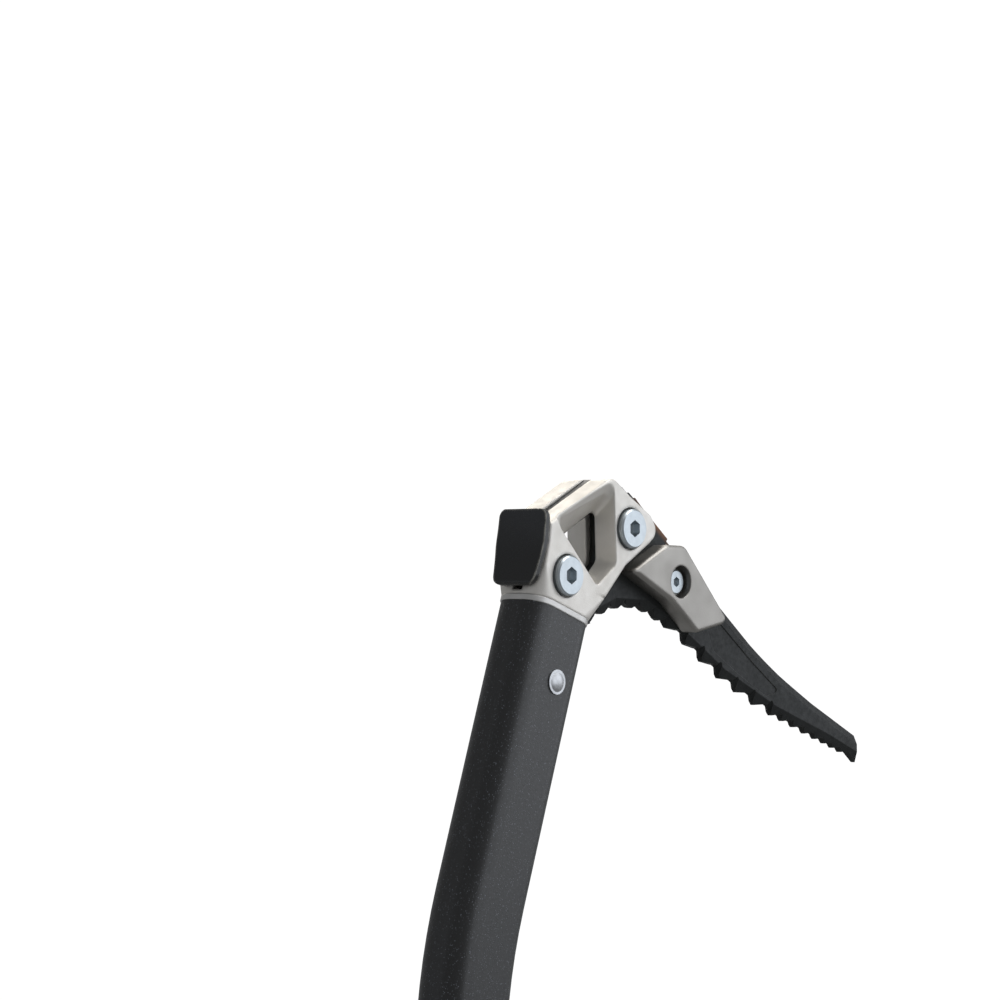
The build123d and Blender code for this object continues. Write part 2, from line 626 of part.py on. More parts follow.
def make_rest_clamp():
    """Rear half of the sliding rest."""
    body = rest_collar()
    for ear in rest_ears():
        body += ear - rest_room()
    body -= slab(-REST_SEAM / 2, 60, REST_TOP - 5, REST_HEIGHT + 20)
    for down, across in rest_screw_lines():
        body -= fore_and_aft(down, across, REST_SCREW_R + 0.15, -10, 5)
        body -= fore_and_aft(down, across, REST_SCREW_HEAD_R + 0.15, -12, -4.0)
    return body


def make_rest_screws():
    """Two socket screws that pull the halves of the finger rest together."""
    screws = []
    for down, across in rest_screw_lines():
        screw = fore_and_aft(down, across, REST_SCREW_HEAD_R, -6.4, -4.0)
        screw += fore_and_aft(down, across, REST_SCREW_R, -4.0, 5.0)
        screw -= fore_and_aft(down, across, 1.2, -7, -5.0)
        screws.append(screw)
    return screws[0] + screws[1]


def make_hand_rest():
    """Bottom rest: a collar on the shaft's end with a horn for the little finger."""
    horn = grip_side([(8, HAND_REST_TOP + 3), (22, HAND_REST_TOP + 5), (36, HAND_REST_TOP + 1),
                      (47, HAND_REST_TOP - 8), (51, HAND_REST_TOP - 4),
                      (45, HAND_REST_TOP + 9), (34, HAND_REST_TOP + 15),
                      (21, HAND_REST_TOP + HAND_REST_HEIGHT), (8, HAND_REST_TOP + HAND_REST_HEIGHT)],
                     [0, 10, 12, 2.2, 2.2, 10, 10, 4, 0])
    horn = plate(horn, -8, 8)
    horn = fillet([e for e in horn.edges() if abs(e.center().Y) > 7.9], 2.4)
    body = grip_block(HAND_REST_TOP, HAND_REST_HEIGHT, SHAFT_LONG + 8, SHAFT_WIDE + 8, SHAFT_CORNER + 4)
    body = fillet(body.faces().filter_by(GeomType.PLANE).edges(), 1.5) + horn
    body -= shaft_bore(HAND_REST_TOP - 20, HAND_REST_HEIGHT + 40, CLOSE)
    centre = hand_bolt_centre()
    body -= rod(centre, HAND_BOLT_R + HAND_BOLT_CLEARANCE, -THROUGH, THROUGH)
    body -= rod(centre, HAND_BOLT_HEAD_R + 0.2, -THROUGH, -SHAFT_WIDE / 2 - HAND_SEAT)
    return body - hexagon_bar(centre, HAND_NUT_FLATS + 0.1, SHAFT_WIDE / 2 + HAND_NUT_SEAT, THROUGH)


def hand_bolt_centre():
    """Axis of the bolt that pins the hand rest, the shaft and the plug."""
    return along(GRIP_START, GRIP_ANGLE, down=HAND_REST_TOP + HAND_REST_HEIGHT / 2)


def make_hand_rest_bolt():
    """M5 cap screw right through the hand rest."""
    face = -SHAFT_WIDE / 2 - HAND_SEAT - HAND_BOLT_HEAD_H
    return cap_screw(hand_bolt_centre(), HAND_BOLT_HEAD_R, HAND_BOLT_HEAD_H, face, HAND_BOLT_R,
                     SHAFT_WIDE / 2 + 3.6, HAND_BOLT_KEY)


def make_hand_rest_nut():
    """Its nut, sunk in the left side of the rest."""
    seat = SHAFT_WIDE / 2 + HAND_NUT_SEAT + FIT
    nut = hexagon_bar(hand_bolt_centre(), HAND_NUT_FLATS, seat, SHAFT_WIDE / 2 + 3.7)
    return nut - rod(hand_bolt_centre(), HAND_BOLT_R + CLOSE, 0, THROUGH)


# ---------------------------------------------------------------- spike

def make_spike_plug():
    """Cast plug that closes the shaft's end and clasps the spike plate."""
    slim = SHAFT_WALL + TENON_GAP
    plug = grip_block(GRIP_STRAIGHT - PLUG_DEPTH, PLUG_DEPTH + 0.1, SHAFT_LONG - 2 * slim,
                      SHAFT_WIDE - 2 * slim, SHAFT_CORNER - slim)
    cap = grip_block(GRIP_STRAIGHT + FIT, PLUG_CAP, SHAFT_LONG + 1, SHAFT_WIDE + 1, SHAFT_CORNER)
    cap = fillet(cap.faces().filter_by(GeomType.PLANE).sort_by(Axis.Z)[0].edges(), 2.0)
    plug += cap
    top, low = GRIP_STRAIGHT - PLUG_DEPTH - 1, GRIP_STRAIGHT + PLUG_CAP + 4
    cleft = grip_side([(-10.05, top), (10.05, top), (10.05, low), (-10.05, low)])
    plug -= plate(cleft, -SPIKE_PLATE / 2 - CLOSE, SPIKE_PLATE / 2 + CLOSE)
    plug -= rod(hand_bolt_centre(), HAND_BOLT_R + HAND_BOLT_CLEARANCE, -THROUGH, THROUGH)
    for centre in spike_rivet_centres():
        plug -= rod(centre, PIN_R + FIT, -THROUGH, THROUGH)
    return plug


def spike_rivet_centres():
    """Axes of the pins through the shaft's end."""
    return [along(GRIP_START, GRIP_ANGLE, down=down) for down in SPIKE_RIVETS]


def spike_eye_centre():
    """Centre of the clipping hole in the spike."""
    return along(GRIP_START, GRIP_ANGLE, forward=-2.0, down=GRIP_STRAIGHT + 14.5)


def make_spike():
    """Steel plate with a point, a clipping eye and a few side teeth."""
    end = GRIP_STRAIGHT
    corners = [(-10, end - PLUG_DEPTH + 1), (10, end - PLUG_DEPTH + 1), (10, end + PLUG_CAP + 0.2),
               (13.5, end + PLUG_CAP + 0.6), (13.8, end + 10), (11.2, end + 12), (11.4, end + 15),
               (8.8, end + 17), (8.8, end + 20), (6.2, end + 22), (4.4, end + SPIKE_LENGTH),
               (-7.5, end + 25), (-13.2, end + 15), (-13.5, end + PLUG_CAP + 0.6),
               (-10, end + PLUG_CAP + 0.2)]
    radii = [0.5, 0.5, 0, 1, 0.4, 0.4, 0.4, 0.4, 0.4, 0.4, 0.5, 8, 4, 1, 0]
    spike = plate(grip_side(corners, radii), -SPIKE_PLATE / 2, SPIKE_PLATE / 2)
    spike -= rod(spike_eye_centre(), SPIKE_EYE_R, -THROUGH, THROUGH)
    spike -= rod(hand_bolt_centre(), HAND_BOLT_R + HAND_BOLT_CLEARANCE, -THROUGH, THROUGH)
    for centre in spike_rivet_centres():
        spike -= rod(centre, PIN_R + FIT, -THROUGH, THROUGH)
    return spike


def make_spike_rivets():
    """Pins that lock the shaft, the plug and the spike together."""
    pins = [rod(centre, PIN_R, -SHAFT_WIDE / 2, SHAFT_WIDE / 2) for centre in spike_rivet_centres()]
    return pins[0] + pins[1]


PIECES = {
    "head_body": make_head_body,
    "head_collar": make_head_collar,
    "head_rivet": make_head_rivet,
    "pick": make_pick,
    "hammer": make_hammer,
    "front_pick_bolt": lambda: make_pick_bolt(FRONT_BOLT),
    "rear_pick_bolt": lambda: make_pick_bolt(REAR_BOLT),
    "front_pick_nut": lambda: make_pick_nut(FRONT_BOLT),
    "rear_pick_nut": lambda: make_pick_nut(REAR_BOLT),
    "pick_weight_right": lambda: make_weight_half(-1),
    "pick_weight_left": lambda: make_weight_half(1),
    "weight_screw": make_weight_screw,
    "shaft": make_shaft,
    "grip_sleeve": make_grip_sleeve,
    "grip_ring": make_grip_ring,
    "finger_rest": make_finger_rest,
    "finger_rest_clamp": make_rest_clamp,
    "finger_rest_screws": make_rest_screws,
    "hand_rest": make_hand_rest,
    "hand_rest_bolt": make_hand_rest_bolt,
    "hand_rest_nut": make_hand_rest_nut,
    "spike_plug": make_spike_plug,
    "spike": make_spike,
    "spike_rivets": make_spike_rivets,
}

os.makedirs("parts", exist_ok=True)
to_eye = Pos(-EYE_CENTRE[0], 0, -EYE_CENTRE[1])
for name, make in PIECES.items():
    piece = to_eye * make()
    export_step(piece, "parts/" + name + ".step")
    box = piece.bounding_box()
    print(name, "x", round(box.min.X, 1), round(box.max.X, 1), "y", round(box.min.Y, 1),
          round(box.max.Y, 1), "z", round(box.min.Z, 1), round(box.max.Z, 1))
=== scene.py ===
# %% [markdown]
# # A bent-shaft ice axe, finished in Blender
# The working shape of the axe comes packed from CAD: cast head, pick, hammer, weights, screws,
# bent tube, grip, rests and spike, each a mesh of its own at its real place, in metres.
# Blender never moves those meshes. It gives each one the finish of the real part, and it builds
# the one part whose relief is too fine for CAD, the moulded rubber sleeve of the grip.
#
# The frame is loaded first, because every size and place below is read from it.

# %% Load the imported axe
import json
import math

import bpy
import numpy as np
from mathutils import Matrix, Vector


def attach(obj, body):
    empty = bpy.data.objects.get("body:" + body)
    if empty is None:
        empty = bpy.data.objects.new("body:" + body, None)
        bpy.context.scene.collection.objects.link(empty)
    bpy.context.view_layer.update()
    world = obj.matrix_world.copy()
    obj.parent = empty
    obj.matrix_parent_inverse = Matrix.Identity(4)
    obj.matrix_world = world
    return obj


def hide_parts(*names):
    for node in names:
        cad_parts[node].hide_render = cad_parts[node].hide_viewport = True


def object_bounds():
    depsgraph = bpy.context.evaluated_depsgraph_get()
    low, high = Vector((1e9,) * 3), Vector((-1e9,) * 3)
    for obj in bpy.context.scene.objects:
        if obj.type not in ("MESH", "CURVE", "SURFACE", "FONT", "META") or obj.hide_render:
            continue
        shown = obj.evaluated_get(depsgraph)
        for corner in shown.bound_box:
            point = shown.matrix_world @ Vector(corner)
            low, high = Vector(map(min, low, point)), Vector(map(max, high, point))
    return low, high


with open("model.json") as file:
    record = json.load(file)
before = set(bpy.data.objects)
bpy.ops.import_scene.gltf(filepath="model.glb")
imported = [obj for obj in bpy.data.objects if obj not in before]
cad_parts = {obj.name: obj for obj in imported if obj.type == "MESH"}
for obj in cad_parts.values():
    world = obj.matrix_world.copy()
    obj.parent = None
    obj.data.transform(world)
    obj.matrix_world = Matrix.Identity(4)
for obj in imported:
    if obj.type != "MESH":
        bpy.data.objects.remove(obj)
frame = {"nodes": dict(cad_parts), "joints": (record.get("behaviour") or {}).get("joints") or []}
nodes = frame["nodes"]
cad_low, cad_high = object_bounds()
print("CAD nodes:", len(nodes), "box in mm:", [round(v * 1000, 1) for v in cad_high - cad_low])

# %% [markdown]
# ## The camera
# A long lens about a metre away keeps the head almost free of perspective, as a product
# picture does. The axe is seen from behind the hammer and to the right, from a little below, so
# that the cheek, the hammer's face and the whole pick show at once.
# The camera is placed by two angles round a point near the head, which is easier to adjust than
# a position and a rotation.

# %% Camera
CAMERA_AZIMUTH = -49.35     # degrees round the axe; 0 looks along +Y
CAMERA_ELEVATION = -1.77    # degrees; minus looks up
CAMERA_DISTANCE = 1.0
CAMERA_LENS = 111.6         # mm on a 36 mm sensor
CAMERA_AIM = np.array([-0.0325, 0.0049, 0.0144])


def direction(azimuth, elevation):
    """Unit vector from the axe towards a viewer: sine and cosine of the two angles, with azimuth 0
    behind -Y and elevation above the horizon."""
    a, e = math.radians(azimuth), math.radians(elevation)
    return np.array([math.sin(a) * math.cos(e), -math.cos(a) * math.cos(e), math.sin(e)])


def face_origin(thing, place, aim):
    """Puts a camera or a lamp at a place, with its own -Z towards the aim and its Y upwards."""
    thing.location = place
    thing.rotation_euler = Vector(aim - place).to_track_quat("-Z", "Y").to_euler()


camera = bpy.data.objects.new("camera", bpy.data.cameras.new("camera"))
bpy.context.scene.collection.objects.link(camera)
camera.data.lens = CAMERA_LENS
camera.data.sensor_width = 36.0
camera.data.clip_start, camera.data.clip_end = 0.01, 50.0
face_origin(camera, CAMERA_AIM + CAMERA_DISTANCE * direction(CAMERA_AZIMUTH, CAMERA_ELEVATION),
            CAMERA_AIM)
bpy.context.scene.camera = camera
print("camera at", [round(v, 4) for v in camera.location])

# %% [markdown]
# ## The studio
# Bright metal shows its surroundings more than its own colour, so the room matters as much as
# the material. A white room with only lamps would make the head flat. Here a dim, even world
# lights everything softly. A wide softbox stands where the flat cheeks mirror it to the viewer,
# a second one makes the band of light along the shaft's rounded corner, one hangs above and one
# stands behind for the faces that look up. The hammer's side gets only a narrow, weak strip,
# which leaves the shaft's rear face dark beside its light flank.
# The camera itself sees plain white behind the axe: a Light Path node keeps that apart from the
# light that falls on the metal.

# %% Colours and nodes
def linear(hex_colour):
    """sRGB hex colour as linear light: the sRGB curve undone channel by channel."""
    srgb = np.array([int(hex_colour[i:i + 2], 16) for i in (1, 3, 5)]) / 255
    light = np.where(srgb <= 0.04045, srgb / 12.92, ((srgb + 0.055) / 1.055) ** 2.4)
    return (*light.tolist(), 1.0)


def add(tree, kind, settings=None, sockets=None):
    """Adds one node: settings are its own options, and each socket takes a value or another
    node's output, by the socket's name or its number."""
    node = tree.nodes.new(kind)
    for name, value in (settings or {}).items():
        setattr(node, name, value)
    for name, value in (sockets or {}).items():
        if isinstance(value, bpy.types.NodeSocket):
            tree.links.new(value, node.inputs[name])
        else:
            node.inputs[name].default_value = value
    return node


print("white as linear light:", linear("#ffffff"))

# %% World
ROOM_STRENGTH = 0.28
BACKDROP_STRENGTH = 1.05    # what the camera sees behind the axe

world = bpy.data.worlds.new("studio")
bpy.context.scene.world = world
world.use_nodes = True
world.node_tree.nodes.clear()
sky = world.node_tree
room_light = add(sky, "ShaderNodeBackground", sockets={
    "Color": linear("#f4f6f8"), "Strength": ROOM_STRENGTH})
seen_white = add(sky, "ShaderNodeBackground", sockets={
    "Color": linear("#ffffff"), "Strength": BACKDROP_STRENGTH})
ray = add(sky, "ShaderNodeLightPath")
either = add(sky, "ShaderNodeMixShader", sockets={
    0: ray.outputs["Is Camera Ray"], 1: room_light.outputs[0], 2: seen_white.outputs[0]})
add(sky, "ShaderNodeOutputWorld", sockets={"Surface": either.outputs[0]})
bpy.context.scene.view_settings.view_transform = "Standard"
print("room light:", ROOM_STRENGTH, "backdrop:", BACKDROP_STRENGTH)

# %% Softboxes
def softbox(name, azimuth, elevation, distance, width, height, power, colour):
    """A rectangular lamp facing the head, placed by two angles in degrees round it and a distance
    in metres; its size is in metres and its power in watts."""
    lamp = bpy.data.lights.new(name, "AREA")
    lamp.shape = "RECTANGLE"
    lamp.size, lamp.size_y = width, height
    lamp.energy = power
    lamp.color = linear(colour)[:3]
    holder = bpy.data.objects.new(name, lamp)
    bpy.context.scene.collection.objects.link(holder)
    face_origin(holder, CAMERA_AIM + distance * direction(azimuth, elevation), CAMERA_AIM)


softbox("key_softbox", 50, 12, 1.5, 1.7, 1.3, 8, "#f4f8ff")
softbox("corner_softbox", 4, 8, 1.5, 0.8, 1.3, 4, "#f4f8ff")
softbox("top_softbox", 50, 64, 1.3, 1.0, 0.8, 9, "#ffffff")
softbox("fill_softbox", -128, 4, 1.8, 0.25, 1.0, 0.25, "#dfe9ff")
softbox("back_softbox", 142, 36, 1.6, 1.0, 1.0, 9, "#fffaf2")

# %% [markdown]
# ## How every finish is put together
# A finish is one Principled shader with patterns feeding it. All patterns read Object
# coordinates: each piece sits at the origin with its place in its mesh, so those are real
# metres, and a noise of scale 1000 / size_mm has lumps of that size.
#
# Two patterns serve many finishes. The first is the rounding of edges: a CAD edge is perfectly
# sharp, and a real one always catches a line of light. A Bevel node gives the shader a normal
# that turns smoothly over a millimetre or less. The second is wear: where that rounded normal
# differs from the flat one, the piece has an edge, and a coating is rubbed there.
# A slow noise on colour and roughness does the rest, since no real surface is quite even.

# %% An empty finish
def start_finish(name):
    """An empty material with one Principled shader: returns it, its tree, shader and place."""
    material = bpy.data.materials.new(name)
    material.use_nodes = True
    tree = material.node_tree
    tree.nodes.clear()
    shader = add(tree, "ShaderNodeBsdfPrincipled")
    add(tree, "ShaderNodeOutputMaterial", sockets={"Surface": shader.outputs["BSDF"]})
    return material, tree, shader, add(tree, "ShaderNodeTexCoord").outputs["Object"]


def feed(tree, shader, **sockets):
    """Fills the shader's sockets by name, with _ for a space."""
    for name, value in sockets.items():
        socket = shader.inputs[name.replace("_", " ")]
        if isinstance(value, bpy.types.NodeSocket):
            tree.links.new(value, socket)
        else:
            socket.default_value = value


finishes = {}
print("finishes so far:", len(finishes))

# %% Patterns that finishes share
COLOUR_MIX = {"data_type": "RGBA"}
MIX_A, MIX_B, MIX_COLOUR = 6, 7, 2      # the colour sockets of a Mix node
NOISE_LOW, NOISE_HIGH = 0.35, 0.65      # between them lies nearly all of a noise's range
BEVEL_SAMPLES = 6
FLAT_DOT, EDGE_DOT = 0.99, 0.86         # rounded against true normal, on a face and on an edge


def per_mm(size_mm):
    """Texture scale whose lumps are that many millimetres across."""
    return 1000.0 / size_mm


def grain(tree, place, size_mm, low=0.0, high=1.0, detail=2.0):
    """Noise of that lump size, spread from low to high."""
    noise = add(tree, "ShaderNodeTexNoise", sockets={
        "Vector": place, "Scale": per_mm(size_mm), "Detail": detail})
    spread = add(tree, "ShaderNodeMapRange", sockets={
        "Value": noise.outputs["Fac"], "From Min": NOISE_LOW, "From Max": NOISE_HIGH,
        "To Min": low, "To Max": high})
    return spread.outputs["Result"]


def mottle(tree, place, tone_a, tone_b, size_mm, detail=2.0):
    """Colour that drifts between two hex tones in patches of that size."""
    return add(tree, "ShaderNodeMix", COLOUR_MIX, {
        0: grain(tree, place, size_mm, detail=detail), MIX_A: linear(tone_a),
        MIX_B: linear(tone_b)}).outputs[MIX_COLOUR]


def skin_normal(tree, edge_mm, height=None, depth_mm=0.0):
    """Normal of the skin: edges rounded over a radius, then a relief of that depth on top."""
    rounded = add(tree, "ShaderNodeBevel", {"samples": BEVEL_SAMPLES}, {
        "Radius": edge_mm / 1000}).outputs["Normal"]
    if height is None:
        return rounded
    return add(tree, "ShaderNodeBump", sockets={
        "Height": height, "Distance": depth_mm / 1000, "Strength": 1.0,
        "Normal": rounded}).outputs["Normal"]


def worn_edges(tree, place, radius_mm, patch_mm, amount):
    """Share of bare metal: the dot product of the rounded and the true normal falls below one at
    an edge, and that fall is spread from 0 to the amount, times a noise that leaves some
    stretches whole."""
    true_normal = add(tree, "ShaderNodeNewGeometry").outputs["Normal"]
    same = add(tree, "ShaderNodeVectorMath", {"operation": "DOT_PRODUCT"}, {
        0: skin_normal(tree, radius_mm), 1: true_normal})
    edge = add(tree, "ShaderNodeMapRange", sockets={
        "Value": same.outputs["Value"], "From Min": FLAT_DOT, "From Max": EDGE_DOT,
        "To Min": 0.0, "To Max": amount})
    unevenly = grain(tree, place, patch_mm, low=0.3, detail=4.0)
    return add(tree, "ShaderNodeMath", {"operation": "MULTIPLY"}, {
        0: edge.outputs["Result"], 1: unevenly}).outputs[0]


print("patterns: grain, mottle, skin_normal, worn_edges")

# %% [markdown]
# ## The floor
# A pale matt disc far below the spike sends light back up, as a studio's paper does. It glows a
# little, so that it isn't grey against the white behind it. It is hidden from reflections,
# because a white floor would light every metal face that looks down.

# %% Floor disc
FLOOR_DROP = 0.14           # metres below the spike
FLOOR_RADIUS = 3.2
FLOOR_SIDES = 96

floor_height = cad_low.z - FLOOR_DROP
around = np.linspace(0, 2 * np.pi, FLOOR_SIDES, endpoint=False)
rim = np.stack([FLOOR_RADIUS * np.cos(around), FLOOR_RADIUS * np.sin(around),
                np.full(FLOOR_SIDES, floor_height)], axis=1)
floor_mesh = bpy.data.meshes.new("floor")
floor_mesh.from_pydata(rim.tolist(), [], [list(range(FLOOR_SIDES))])
floor = bpy.data.objects.new("floor", floor_mesh)
bpy.context.scene.collection.objects.link(floor)
floor.visible_glossy = False
material, tree, shader, place = start_finish("matt_floor_paint")
feed(tree, shader,
     Base_Color=linear("#ecebe8"),
     Roughness=0.9,
     Emission_Color=linear("#ffffff"),
     Emission_Strength=0.50)
floor_mesh.materials.append(material)
print("floor at", round(floor_height, 3))

# %% [markdown]
# ## Cast stainless head
# The head is an investment casting in stainless steel, blasted with glass beads. Blasting
# leaves a very fine, even dimpled skin: it looks pale and almost matt, with broad soft
# highlights and no sharp reflections. A high roughness does most of that, and a fine noise bump
# gives the grain. Real bead dimples are about 0.1 mm; they are drawn 0.45 mm across here,
# because smaller ones vanish at this distance.

# %% Bead-blasted head and its lip
material, tree, shader, place = start_finish("bead_blasted_cast_stainless")
feed(tree, shader,
     Base_Color=mottle(tree, place, "#d8d5cf", "#e1ded9", size_mm=14),
     Metallic=0.9,
     Roughness=grain(tree, place, size_mm=3.0, low=0.50, high=0.60),
     Normal=skin_normal(tree, edge_mm=1.3, height=grain(tree, place, size_mm=0.45), depth_mm=0.014))
finishes["cast_head"] = material

material, tree, shader, place = start_finish("satin_stainless_lip")
feed(tree, shader,
     Base_Color=mottle(tree, place, "#cbcac8", "#d6d5d3", size_mm=6),
     Metallic=0.9,
     Roughness=grain(tree, place, size_mm=1.5, low=0.42, high=0.50),
     Normal=skin_normal(tree, edge_mm=0.4))
finishes["collar"] = material
print("finishes:", sorted(finishes))

# %% [markdown]
# ## Screws, rivets and the spike
# The pick bolts and the weight's screw are steel plated with blue-passivated zinc: a cool,
# slightly cloudy silver, smoother than the casting beside it. The rivets are plain turned
# stainless, warmer and duller. Clouding is mostly a slow noise on roughness, which is how
# plating really differs from place to place, with a fainter one on colour.
# The side of a screw's head is turned, and fine rings run round it. A wave texture along Y, the
# axis of these screws, gives them without any geometry.
# The spike is ground steel. Its noise is squeezed twelve times across, which leaves streaks
# along its length.

# %% Plated and turned metals
WAVE_UNIT = math.pi / 10    # metres from crest to crest of a wave texture of scale 1
RING_PITCH = 0.0007         # metres between the grooves round the side of a screw's head

material, tree, shader, place = start_finish("blue_zinc_plated_steel")
rings = add(tree, "ShaderNodeTexWave", {"bands_direction": "Y"}, {
    "Vector": place, "Scale": WAVE_UNIT / RING_PITCH})
feed(tree, shader,
     Base_Color=mottle(tree, place, "#bbc3c8", "#c5cdd2", size_mm=2.5),
     Metallic=1.0,
     Roughness=grain(tree, place, size_mm=2.4, low=0.33, high=0.40),
     Normal=skin_normal(tree, edge_mm=0.12, height=rings.outputs["Fac"], depth_mm=0.05))
finishes["zinc_screw"] = material

material, tree, shader, place = start_finish("turned_stainless_rivet")
feed(tree, shader,
     Base_Color=mottle(tree, place, "#bfc1c4", "#d0d2d5", size_mm=1.6),
     Metallic=1.0,
     Roughness=grain(tree, place, size_mm=0.8, low=0.34, high=0.46),
     Normal=skin_normal(tree, edge_mm=0.2))
finishes["rivet"] = material

material, tree, shader, place = start_finish("ground_stainless_spike")
streaked = add(tree, "ShaderNodeMapping", sockets={
    "Vector": place, "Scale": (12.0, 12.0, 1.0)}).outputs["Vector"]
feed(tree, shader,
     Base_Color=mottle(tree, place, "#8d8f90", "#a6a8a9", size_mm=8),
     Metallic=1.0,
     Roughness=grain(tree, streaked, size_mm=6.0, low=0.28, high=0.46, detail=3.0),
     Normal=skin_normal(tree, edge_mm=0.35, height=grain(tree, streaked, size_mm=4.0),
                        depth_mm=0.01))
finishes["spike_steel"] = material

material, tree, shader, place = start_finish("black_oxide_screw_steel")
rubbed = worn_edges(tree, place, radius_mm=0.2, patch_mm=2.0, amount=0.6)
tones = add(tree, "ShaderNodeMix", COLOUR_MIX, {
    0: rubbed, MIX_A: linear("#191a1b"), MIX_B: linear("#77797b")})
feed(tree, shader,
     Base_Color=tones.outputs[MIX_COLOUR],
     Metallic=0.85,
     Roughness=grain(tree, place, size_mm=1.0, low=0.30, high=0.44),
     Normal=skin_normal(tree, edge_mm=0.2))
finishes["dark_screw"] = material
print("finishes:", sorted(finishes))

# %% [markdown]
# ## Black steel of the pick and the hammer
# The pick is forged from tool steel and coated black. The coat is thin and semi-matt, and it is
# polished grey along the back bevel and the teeth, where it rubs. Between the head and the
# weight the top edge has a painted warm highlight: brown mixed into the coat's colour there.
# It is drawn as a patch: one measure says how near a point lies to the straight back, another
# how far it is along from the patch's middle.
# The hammer has a thicker gloss coat, so it shows long soft reflections and a fine bare line on
# its edges.

# %% Coated pick and hammer
ACROSS_THE_BACK = (0.598, 0.0, 0.801)   # square to the pick's straight back
BACK_HEIGHT = 0.0304                    # metres from the eye's centre to that back
# The tint below is a painted warm highlight: how far it reaches down from the back, and where along
# the back it sits.
HIGHLIGHT_DEPTH = 0.0022                     # how far the tint reaches down from the back
HIGHLIGHT_MIDDLE, HIGHLIGHT_REACH = 0.040, 0.014  # metres forward of the eye's centre, and to each side

material, tree, shader, place = start_finish("black_phosphated_tool_steel")
coat = mottle(tree, place, "#161818", "#202222", size_mm=5.0, detail=4.0)
rubbed = worn_edges(tree, place, radius_mm=0.30, patch_mm=5.0, amount=0.18)
height = add(tree, "ShaderNodeVectorMath", {"operation": "DOT_PRODUCT"}, {
    0: place, 1: ACROSS_THE_BACK}).outputs["Value"]
near_back = add(tree, "ShaderNodeMapRange", sockets={
    "Value": height, "From Min": BACK_HEIGHT - HIGHLIGHT_DEPTH, "From Max": BACK_HEIGHT})
along = add(tree, "ShaderNodeSeparateXYZ", sockets={"Vector": place}).outputs["X"]
from_middle = add(tree, "ShaderNodeMath", {"operation": "SUBTRACT"}, {
    0: along, 1: HIGHLIGHT_MIDDLE}).outputs[0]
off_middle = add(tree, "ShaderNodeMath", {"operation": "ABSOLUTE"}, {0: from_middle}).outputs[0]
near_middle = add(tree, "ShaderNodeMapRange", sockets={
    "Value": off_middle, "From Min": HIGHLIGHT_REACH, "From Max": HIGHLIGHT_REACH / 3})
# Share of painted warm highlight: near the straight back and near the patch's middle.
warm_highlight_share = add(tree, "ShaderNodeMath", {"operation": "MULTIPLY"}, {
    0: near_back.outputs["Result"], 1: near_middle.outputs["Result"]}).outputs[0]
polished = add(tree, "ShaderNodeMix", COLOUR_MIX, {
    0: rubbed, MIX_A: coat, MIX_B: linear("#8b887f")})
# Painted warm highlight: brown colour mixed into the coat along the back edge.
warm_highlighted = add(tree, "ShaderNodeMix", COLOUR_MIX, {
    0: warm_highlight_share, MIX_A: polished.outputs[MIX_COLOUR], MIX_B: linear("#6e4a33")})
feed(tree, shader,
     Base_Color=warm_highlighted.outputs[MIX_COLOUR],
     Metallic=0.6,
     Roughness=grain(tree, place, size_mm=1.4, low=0.36, high=0.50),
     Normal=skin_normal(tree, edge_mm=0.3, height=grain(tree, place, size_mm=0.5), depth_mm=0.012))
finishes["pick_steel"] = material

material, tree, shader, place = start_finish("gloss_black_coated_steel")
rubbed = worn_edges(tree, place, radius_mm=1.1, patch_mm=3.0, amount=0.9)
tones = add(tree, "ShaderNodeMix", COLOUR_MIX, {
    0: rubbed, MIX_A: linear("#050608"), MIX_B: linear("#9a9890")})
feed(tree, shader,
     Base_Color=tones.outputs[MIX_COLOUR],
     Roughness=grain(tree, place, size_mm=2.0, low=0.26, high=0.32),
     Coat_Weight=0.2,
     Coat_Roughness=0.10,
     Normal=skin_normal(tree, edge_mm=0.9, height=grain(tree, place, size_mm=2.4), depth_mm=0.004))
finishes["hammer_steel"] = material
print("finishes:", sorted(finishes))

# %% [markdown]
# ## Satin cast weights
# The pick weights are cast in stainless and tumbled, so they are greyer than the head, with
# rounder edges and a tighter highlight that doubles along the ridge. Their roughness is the
# same all over, because tumbling evens out the skin.

# %% Tumbled weights
material, tree, shader, place = start_finish("tumbled_cast_stainless")
feed(tree, shader,
     Base_Color=mottle(tree, place, "#989590", "#a8a5a0", size_mm=14),
     Metallic=1.0,
     Roughness=0.42,
     Normal=skin_normal(tree, edge_mm=0.9, height=grain(tree, place, size_mm=0.55), depth_mm=0.008))
finishes["weight_steel"] = material

# %% [markdown]
# ## Powder-coated shaft
# The tube is aluminium with a textured black powder coat. Powder melts into tiny domes, and each
# dome throws a point of light back, so a plain black looks speckled grey on the lit side.
# Voronoi cells about half a millimetre across give the domes. Some of their crowns are a shade
# lighter in colour, a painted highlight for those points of light, and a second, clearer layer
# with a shallower relief gives the soft sheen over them.

# %% Textured black shaft
DOME_MM = 0.62
DOME_FOOT, DOME_CROWN = 0.34, 0.08      # distances from a cell's centre, in cell sizes
SHEEN_DEPTH, POWDER_DEPTH = 0.00002, 0.000045

material, tree, shader, place = start_finish("textured_black_powder_coat")
domes = add(tree, "ShaderNodeTexVoronoi", {"feature": "F1"}, {
    "Vector": place, "Scale": per_mm(DOME_MM), "Randomness": 1.0})
crowns = add(tree, "ShaderNodeMapRange", sockets={
    "Value": domes.outputs["Distance"], "From Min": DOME_FOOT, "From Max": DOME_CROWN,
    "To Min": 0.0, "To Max": 1.0})
# Painted highlight: a share of the dome crowns, which take a lighter blue-grey colour in place of
# the points of light they throw back.
painted_glint_share = add(tree, "ShaderNodeMath", {"operation": "MULTIPLY", "use_clamp": True}, {
    0: crowns.outputs["Result"], 1: grain(tree, place, size_mm=1.1, low=-0.6)})
